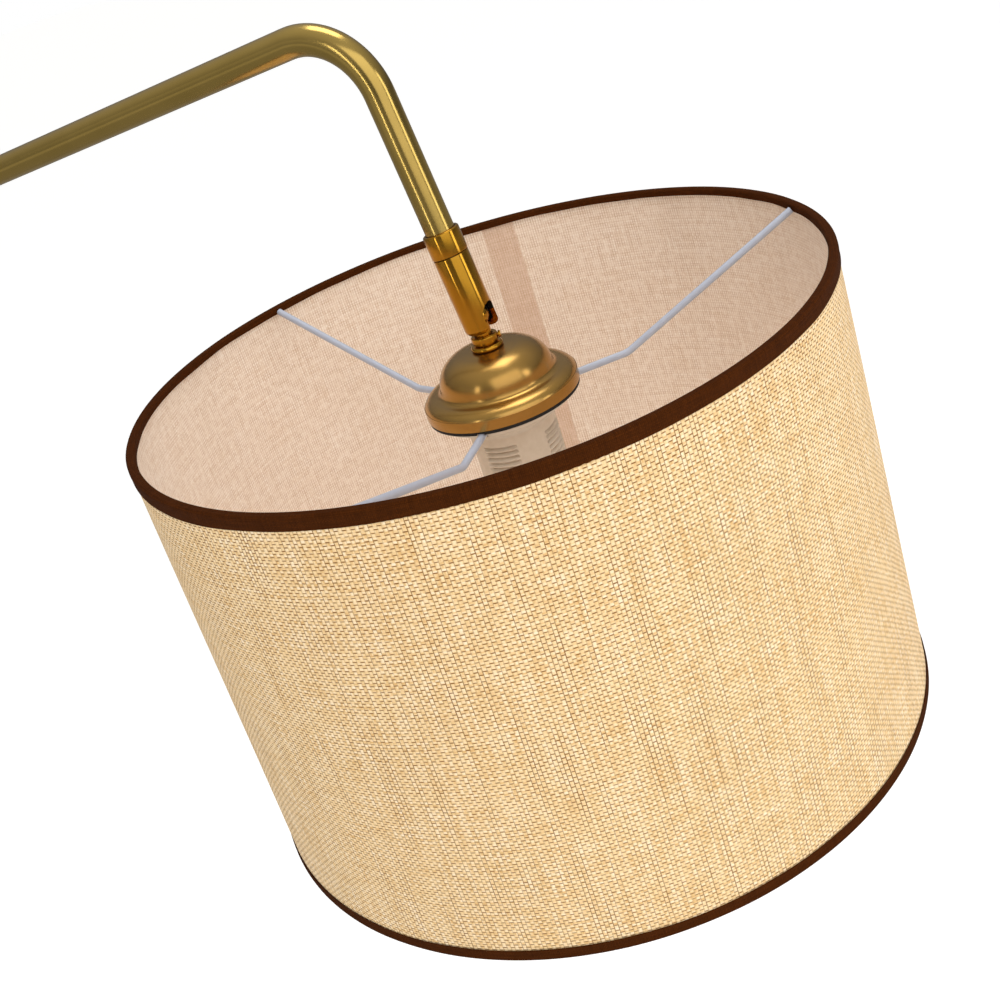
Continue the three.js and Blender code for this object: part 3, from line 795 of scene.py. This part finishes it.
def makeCanopy():
    v = canopyValues
    outside = [
        (v["radius"], v["rim"]),
        (v["radius"], -41.9),
        *arcPoints(35.4, -43.2, 7.8, 5.6, 12, 86, 14),
        (34.6, -37.5),
        (33.4, -37.0),
        (32.5, -36.3),
        (32.0, -35.4),
        *arcPoints(14.5, v["domeFoot"], 17.2, 16.0, 5, 90, 28),
        (13.8, -18.8),
        (5.3, v["top"]),
    ]
    inside = [
        (5.3, v["top"] - v["wall"]),
        *arcPoints(14.5, v["domeFoot"] - 0.6, 16.2, 15.2, 90, 0, 16),
        (33, -38.2),
        *arcPoints(36.3, -42.2, 5.9, 3.1, 90, 10, 8),
        (v["radius"] - v["wall"], -42.2),
        (v["radius"] - v["wall"], v["rim"]),
    ]
    turnedPiece("canopy", outside + inside, headPlace, spunBrass, "head",
                ["canopy"], 192, 0.25)
    # a black rubber gasket, drawn thick enough to also stand for the painted shade of the gap under the
    # canopy's rim
    gasket = turnedPiece("canopyGasketAndShadowGap", [(36, -49.7), (42.9, -49.7), (42.9, -48.1), (36, -48.1)],
                         headPlace, blackRubber, "head", ["canopy_gasket"], 128, 0.15)
    cutWith(gasket, armNotches(v["rim"] - 1.0))
    turnedPiece("canopyWasher", [
        (5.0, -18.5), (8.4, -18.5), (8.9, -17.9), (8.9, -17.0), (8.2, -16.0), (5.0, -16.0)],
        headPlace, turnedBrass, "head", ["canopy_washer"], 96, 0.35)


def makeKnuckle():
    ball, neck, bore = 6.2, 4.7, 2.9
    neckTop = -math.sqrt(ball ** 2 - neck ** 2)
    ballFrom = math.degrees(math.atan2(neckTop, neck))
    ballTo = math.degrees(math.atan2(math.sqrt(ball ** 2 - bore ** 2), bore))
    turnedPiece("knuckleStem", [(bore, -39), (neck, -39), *arcPoints(0, 0, ball, ball, ballFrom, ballTo, 24)],
                headPlace, turnedBrass, "head", ["knuckle_stem"], 96, 0.2)
    turnedPiece("stemNut", [
        (5.0, -15.7), (6.2, -15.7), (6.2, -15.1), (7.3, -14.8), (7.3, -11.4), (6.8, -10.9), (5.0, -10.9)],
        headPlace, turnedBrass, "head", ["stem_nut"], 96, 0.25)
    screwPlace = headPlace @ Matrix.Rotation(math.radians(30), 4, "Z")
    screwPlace = screwPlace @ Matrix.Translation((0, 0, -13.2 * mm)) @ Matrix.Rotation(math.pi / 2, 4, "Y")
    turnedPiece("nutLockScrew", [
        (0, 5.3), (1.1, 5.3), (1.1, 7.6), (1.9, 7.6), (1.9, 8.9), (0.5, 8.9), (0.5, 8.4), (0, 8.4)],
        screwPlace, turnedBrass, "head", ["nut_lock_screw"], 48, 0.15)


swivelValues = {
    "radius": 9.7,
    "bore": 7.8,
    "mouth": 6.4,
    "bottom": -8.8,
    "top": 35.8,
    "boreTop": 31.0,
    "rounding": 3.6,
    "axleHole": 5.3,
    "slotHalf": 6.25,
    "slotDepth": 14.0,
    "pinHole": 2.15,
    "insideSkin": 9.0,          # faces nearer the axis than this, between the two levels, are the bore
    "boreFrom": -6.0,
    "boreTo": 33.0,
}


def makeSwivel():
    v = swivelValues
    edge = v["rounding"]
    crosswise = swivelPlace @ Matrix.Rotation(math.pi / 2, 4, "X")
    turnedPiece("swivelCollar", [
        (v["axleHole"], 36.3), (10, 36.3), (10, 48.6), (9.4, 49.2),
        (8.3, 49.2), (8.3, 40), (v["axleHole"], 40)],
        swivelPlace, turnedBrass, "arc", ["swivel_collar"], 96, 0.35)
    barrel = turnedPiece("swivelBarrel", [
        (v["mouth"], v["bottom"]),
        *arcPoints(v["radius"] - edge, v["bottom"] + edge, edge, edge, 280, 360, 12),
        (v["radius"], v["top"]), (v["axleHole"], v["top"]), (v["axleHole"], v["boreTop"]),
        (v["bore"], v["boreTop"]), (v["bore"], v["bottom"] + 4), (v["mouth"], v["bottom"] + 2.5)],
        swivelPlace, turnedBrass, "barrel", ["swivel_barrel"], 128, 0.3)
    slotShape = bmesh.new()
    slotHalf = v["slotHalf"]
    outline = [(-30.0, slotHalf), (0.0, slotHalf)]
    for k in range(1, 24):
        a = math.pi * k / 24
        outline.append((slotHalf * math.sin(a), slotHalf * math.cos(a)))
    outline += [(0.0, -slotHalf), (-30.0, -slotHalf)]
    front = [slotShape.verts.new((0, y * mm, z * mm)) for z, y in outline]
    back = [slotShape.verts.new((v["slotDepth"] * mm, y * mm, z * mm)) for z, y in outline]
    slotShape.faces.new(front)
    slotShape.faces.new(back[::-1])
    for i in range(len(outline)):
        j = (i + 1) % len(outline)
        slotShape.faces.new((front[i], front[j], back[j], back[i]))
    pinHole = turnedMesh([(0, -9), (v["pinHole"], -9), (v["pinHole"], 9), (0, 9)], 32)
    cutWith(barrel, [
        cutterPiece(slotShape, swivelPlace),
        cutterPiece(pinHole, crosswise),
    ])
    # the bore's inside faces get the near-black painted shade
    barrel.data.materials.append(boreShadePaint)
    fromBarrel = swivelPlace.inverted()
    for face in barrel.data.polygons:
        centre = fromBarrel @ face.center
        inside = math.hypot(centre.x, centre.y) < v["insideSkin"] * mm
        if inside and v["boreFrom"] * mm < centre.z < v["boreTo"] * mm:
            face.material_index = len(barrel.data.materials) - 1
    turnedPiece("knucklePin", [(0, -8.7), (1.6, -8.7), (2, -8.4), (2, 8.4), (1.6, 8.7), (0, 8.7)],
                crosswise, turnedBrass, "barrel", ["knuckle_pin"], 48, 0.1)


makeCanopy()
makeKnuckle()
makeSwivel()
print("canopy and knuckle made")


holderValues = {
    "bodyRadius": 24.4,
    "threadStart": -62.5,
    "threadEnd": -109.5,
    "edgeBlend": 3.0,           # degrees over which a group of thread fades out
    "grooveTop": -67.0,
    "groovePitch": 3.1,
    "grooveCount": 12,
    "grooveDepth": 2.2,
    "groupAzimuths": (6.0, 96.0, 186.0, 276.0),
    "groupHalfWidth": 24.0,
}


def makeHolder():
    v = holderValues
    outside = [(15.8, -112), (v["bodyRadius"] - 1, -112), (v["bodyRadius"], -110)]
    steps = 96
    for i in range(steps + 1):
        outside.append((v["bodyRadius"], v["threadEnd"] + (v["threadStart"] - v["threadEnd"]) * i / steps))
    outside += [
        (24.9, -61.3), (26, -60.3), (30, -57.8), (36, -54.2), (39.4, -52.2), (40.5, -50.9), (40.5, -49.9),
        (39.1, -49.9)]
    inside = [
        (38.7, -50.9), (35.3, -53.3), (20.5, -53.3), (20.5, -47.3), (17.8, -47.3), (17.8, -108), (15.8, -109)]

    def shape(index, angle, r, z):
        if abs(r - v["bodyRadius"]) > 0.01 or z > v["grooveTop"]:
            return r, z
        along = (v["grooveTop"] - z) / v["groovePitch"]
        if along > v["grooveCount"]:
            return r, z
        degrees = math.degrees(angle)
        nearest = min(abs((degrees - a + 180) % 360 - 180) for a in v["groupAzimuths"])
        mask = min(1.0, max(0.0, (v["groupHalfWidth"] - nearest) / v["edgeBlend"]))
        cutDepth = 0.5 - 0.5 * math.cos(2 * math.pi * along)
        return r - v["grooveDepth"] * mask * cutDepth ** 1.6, z
    body = turnedPiece("lampholderBody", outside + inside, headPlace, holderPlastic, "head",
                       ["lampholder_body"], 240, 0, shape)
    cutWith(body, armNotches(canopyValues["rim"]))
    turnedPiece("bulbGlass", [
        (0, -178), *arcPoints(0, -148, 30, 30, -86, 8, 30), (27.6, -134), (24, -127), (19.5, -119.5),
        (16.2, -114.5), (14.8, -111), (13.8, -106), (13.2, -98.3), (12.2, -98.3), (12.8, -107), (14, -112.5),
        (23, -127.6),
        *arcPoints(0, -148, 29, 29, 0, -86, 20), (0, -177)],
        headPlace, frostedGlass, "head", ["bulb_glass"], 96, 0)


makeHolder()
print("lampholder and bulb made")


def makeTubes():
    v = lampPlaces
    collar = v["joinerCollar"]
    drop = Vector((-math.sin(rise), 0, math.cos(rise))) * v["dropLength"]
    corner = Vector((v["reach"], 0, v["pivotHeight"])) + drop
    arcTurn = math.pi / 2 - rise
    arcTangent = v["arcRadius"] * math.tan(arcTurn / 2)
    arcStart = corner.z - corner.x * math.tan(rise) - arcTangent
    arcToCorner = corner.x / math.cos(rise) - arcTangent
    seam = corner - Vector((math.cos(rise), 0, math.sin(rise))) * v["joinerFromElbow"]
    arcStations = bentStations(0, v["arcFoot"], math.pi / 2, [
        {"length": arcStart - v["arcFoot"], "steps": 2},
        {"radius": v["arcRadius"], "turn": -arcTurn, "steps": 96},
        {"length": arcToCorner - v["joinerFromElbow"] - collar, "steps": 2},
    ])
    arcMesh = sweptMesh(arcStations, v["tubeRadius"], v["tubeBore"])
    finishMesh("arcTube", arcMesh, Matrix.Identity(4), satinBrass, "arc", ["arc_tube"])
    armStations = bentStations(
        seam.x + collar * math.cos(rise), seam.z + collar * math.sin(rise), rise, [
            {"length": v["joinerFromElbow"] - collar - v["elbowRadius"], "steps": 12},
            {"radius": v["elbowRadius"], "turn": -math.pi / 2, "steps": 40},
            {"length": v["dropLength"] - v["elbowRadius"] - v["tubeEnd"], "steps": 4},
        ])
    armMesh = sweptMesh(armStations, v["tubeRadius"], v["tubeBore"])
    finishMesh("armTube", armMesh, Matrix.Identity(4), satinBrass, "arc", ["arm_tube"])
    joinerPlace = Matrix.Translation(seam * mm) @ Matrix.Rotation(math.pi / 2 - rise, 4, "Y")
    turnedPiece("armJoiner", [
        (4.8, -30), (6.5, -30), (6.5, -1), (8.2, -1), (8.2, 1), (6.5, 1), (6.5, 30), (4.8, 30)],
        joinerPlace, turnedBrass, "arc", ["arm_joiner"], 96, 0.3)


makeTubes()
print("arm and arc made")


standValues = {
    "poleRadius": 11.0,
    "poleBore": 9.5,
    "poleFoot": 26.3,
    "lowerTop": 605.0,
    "upperFoot": 608.6,
    "upperTop": 1180.0,
    "inletLevel": 6.9,
    "clampLevel": 1206.0,
}


def makeStand():
    v = standValues
    here = Matrix.Identity(4)
    bore, tube = v["poleBore"], v["poleRadius"]
    cover = turnedPiece("baseCover", [
        (148.5, 1), (150, 1), *arcPoints(142, 15.5, 8, 8, 0, 90, 16), (30, 26), (7, 26),
        (7, 24.5), (30, 24.5), *arcPoints(142, 15.5, 6.5, 6.5, 90, 0, 12)],
        here, spunBrass, "stand", ["base_cover"], 256, 0.3)
    inletHole = turnedMesh([(0, -155), (5, -155), (5, -145), (0, -145)], 32)
    box = bmesh.new()
    inletLevel = v["inletLevel"]
    boxPlace = Matrix.Translation(Vector((-150, 0, inletLevel / 2)) * mm)
    boxSize = Matrix.Diagonal((10 * mm, 10 * mm, inletLevel * mm, 1))
    bmesh.ops.create_cube(box, size=1.0, matrix=boxPlace @ boxSize)
    inletPlace = Matrix.Translation((0, 0, inletLevel * mm)) @ Matrix.Rotation(math.pi / 2, 4, "Y")
    cutWith(cover, [cutterPiece(inletHole, inletPlace), cutterPiece(box, here)])
    turnedPiece("cordInlet", [
        (3.2, -153), (5.5, -153), (5.5, -150.3), (4.7, -150.3), (4.7, -148), (5.5, -148), (5.5, -145.4),
        (3.2, -145.4)],
        inletPlace, blackRubber, "stand", ["cord_inlet"], 64, 0.4)
    turnedPiece("basePad", [(0, 0), (144, 0), (144, 2.5), (0, 2.5)], here, blackRubber, "stand",
                ["base_pad"], 192, 0.4)
    turnedPiece("footCup", [
        (11.3, v["poleFoot"]), (24, v["poleFoot"]), (24, 29), *arcPoints(24, 40, 10.5, 11, 270, 180, 14),
        (13, 48), (11.3, 48)],
        here, turnedBrass, "stand", ["foot_cup"], 128, 0.4)
    turnedPiece("poleLower", [
        (bore, v["poleFoot"]), (tube, v["poleFoot"]), (tube, v["lowerTop"]), (bore, v["lowerTop"])],
        here, satinBrass, "stand", ["pole_lower"], 96, 0.3)
    turnedPiece("poleJoiner", [
        (6.5, 560), (9.2, 560), (9.2, 605.3), (11, 605.3), (11, 608.3), (9.2, 608.3), (9.2, 650), (6.5, 650)],
        here, turnedBrass, "stand", ["pole_joiner"], 96, 0.3)
    turnedPiece("poleUpper", [
        (bore, v["upperFoot"]), (tube, v["upperFoot"]), (tube, v["upperTop"]), (bore, v["upperTop"])],
        here, satinBrass, "stand", ["pole_upper"], 96, 0.3)
    socket = turnedPiece("arcSocket", [
        (11.3, 1150), (13.4, 1150), (13.4, 1228), (11.6, 1236), (10, 1236), (10, 1184.3), (7, 1184.3),
        (7, 1180.3), (11.3, 1180.3)],
        here, turnedBrass, "stand", ["arc_socket"], 128, 0.5)
    screwPlace = Matrix.Translation((0, 0, v["clampLevel"] * mm)) @ Matrix.Rotation(math.pi / 2, 4, "Y")
    screwHole = turnedMesh([(0, -20), (2.4, -20), (2.4, 0), (0, 0)], 32)
    cutWith(socket, [cutterPiece(screwHole, screwPlace)])

    def knurl(index, angle, r, z):
        return (r - 0.25 * (0.5 + 0.5 * math.cos(angle * 36)), z) if r > 5.6 else (r, z)
    turnedPiece("clampScrew", [
        (0, -26), (5.5, -26), (6.5, -25), (6.5, -17), (5.5, -16), (2.1, -16), (2.1, -8.3), (0, -8.3)],
        screwPlace, turnedBrass, "stand", ["clamp_screw"], 288, 0.3, knurl)


makeStand()
print("stand made")


studioValues = {
    "floorHex": "#f4f3f1",
    "keyPower": 23.0,
    "fillPower": 0.9,
    "topPower": 9.0,
    "leftStripPower": 6.0,
    "rightStripPower": 9.0,
    "worldPale": 0.95,
    "worldDark": 0.27,
    "reflectedPale": 0.6,
    "reflectedDark": 0.1,
    "reflectedFloor": 0.32,
}


def makeStudio():
    v = studioValues
    mesh = bpy.data.meshes.new("floor")
    half = 40.0                 # metres, so that its edge is never seen
    corners = [(-half, -half, 0), (half, -half, 0), (half, half, 0), (-half, half, 0)]
    mesh.from_pydata(corners, [], [(0, 1, 2, 3)])
    floor = bpy.data.objects.new("floor", mesh)
    floor.location.z = -0.0004
    bpy.context.scene.collection.objects.link(floor)
    paper, tree, shader = newMaterial("paleFloor")
    shader.inputs["Base Color"].default_value = linearFrom(v["floorHex"])
    shader.inputs["Roughness"].default_value = 0.9
    shader.inputs["Emission Color"].default_value = (1, 1, 1, 1)
    shader.inputs["Emission Strength"].default_value = 0.35
    # a lighting aid: mirror reflections see a dimmer floor than the eye does, so the brass keeps its depth
    dim = addNode(tree, "ShaderNodeEmission", {
        "Color": linearFrom(v["floorHex"]), "Strength": v["reflectedFloor"]})
    rays = addNode(tree, "ShaderNodeLightPath")
    both = addNode(tree, "ShaderNodeMixShader", {
        0: rays.outputs["Is Glossy Ray"], 1: shader.outputs["BSDF"], 2: dim.outputs["Emission"]})
    tree.links.new(both.outputs["Shader"], tree.nodes["Material Output"].inputs["Surface"])
    mesh.materials.append(paper)

    world = bpy.data.worlds.new("studio")
    bpy.context.scene.world = world
    world.use_nodes = True
    tree = world.node_tree
    background = tree.nodes["Background"]
    coords = addNode(tree, "ShaderNodeTexCoord")
    split = addNode(tree, "ShaderNodeSeparateXYZ", {"Vector": coords.outputs["Generated"]})
    sideways = addNode(tree, "ShaderNodeMath", {
        0: split.outputs["X"], 1: 0.35, 2: split.outputs["Z"]}, operation="MULTIPLY_ADD")
    soft = addNode(tree, "ShaderNodeValToRGB", {"Fac": sideways.outputs[0]})
    soft.color_ramp.elements[0].position = 0.0
    soft.color_ramp.elements[0].color = (v["worldDark"],) * 3 + (1,)
    soft.color_ramp.elements[1].position = 0.9
    soft.color_ramp.elements[1].color = (v["worldPale"],) * 3 + (1,)
    # the same aid in the sky, for mirror reflections only: dark at the horizon and paler overhead
    dark = addNode(tree, "ShaderNodeValToRGB", {"Fac": split.outputs["Z"]})
    dark.color_ramp.elements[0].position = 0.0
    dark.color_ramp.elements[0].color = (v["reflectedDark"],) * 3 + (1,)
    dark.color_ramp.elements[1].position = 0.95
    dark.color_ramp.elements[1].color = (v["reflectedPale"],) * 3 + (1,)
    seen = addNode(tree, "ShaderNodeLightPath")
    lit = addNode(tree, "ShaderNodeMixRGB", {
        "Fac": seen.outputs["Is Glossy Ray"], "Color1": soft.outputs["Color"],
        "Color2": dark.outputs["Color"]})
    mix = addNode(tree, "ShaderNodeMixRGB", {
        "Fac": seen.outputs["Is Camera Ray"], "Color1": lit.outputs["Color"], "Color2": (1, 1, 1, 1)})
    tree.links.new(mix.outputs["Color"], background.inputs["Color"])
    background.inputs["Strength"].default_value = 1.0

    aim = (0.98, 0, 1.6)        # metres, inside the shade
    for name, power, width, height, place in (
        ("keyLight", v["keyPower"], 2.6, 2.6, (2.6, -1.3, 2.6)),
        ("fillLight", v["fillPower"], 1.4, 1.4, (-0.6, -1.8, 1.9)),
        ("topLight", v["topPower"], 0.9, 0.9, (0.9, 0.5, 3.3)),
        ("leftStrip", v["leftStripPower"], 0.14, 2.4, (0.50, -1.94, 1.5)),
        ("rightStrip", v["rightStripPower"], 0.45, 2.4, (2.95, 0.12, 1.5)),
    ):
        lamp = bpy.data.lights.new(name, "AREA")
        lamp.energy = power
        lamp.shape = "RECTANGLE"
        lamp.size = width
        lamp.size_y = height
        holder = bpy.data.objects.new(name, lamp)
        holder.location = place
        holder.rotation_euler = (Vector(aim) - Vector(place)).to_track_quat("-Z", "Y").to_euler()
        bpy.context.scene.collection.objects.link(holder)


def makeCamera():
    data = bpy.data.cameras.new("camera")
    data.sensor_width = 36.0
    data.lens = 47.77
    data.clip_end = 200.0
    camera = bpy.data.objects.new("camera", data)
    fromRim = Vector((374.1, -566.3, 229.2))    # mm, from the middle of the shade's top edge
    right = Vector((0.8594, 0.4237, -0.2862))
    up = Vector((0.0235, 0.5264, 0.8499))
    back = right.cross(up)
    turn = Matrix((right, up, back)).transposed().to_4x4()
    camera.matrix_world = Matrix.Translation(shadePlace.translation + fromRim * mm) @ turn
    bpy.context.scene.collection.objects.link(camera)
    bpy.context.scene.camera = camera


makeStudio()
makeCamera()
bpy.context.scene.view_settings.view_transform = "Standard"
print("studio made")
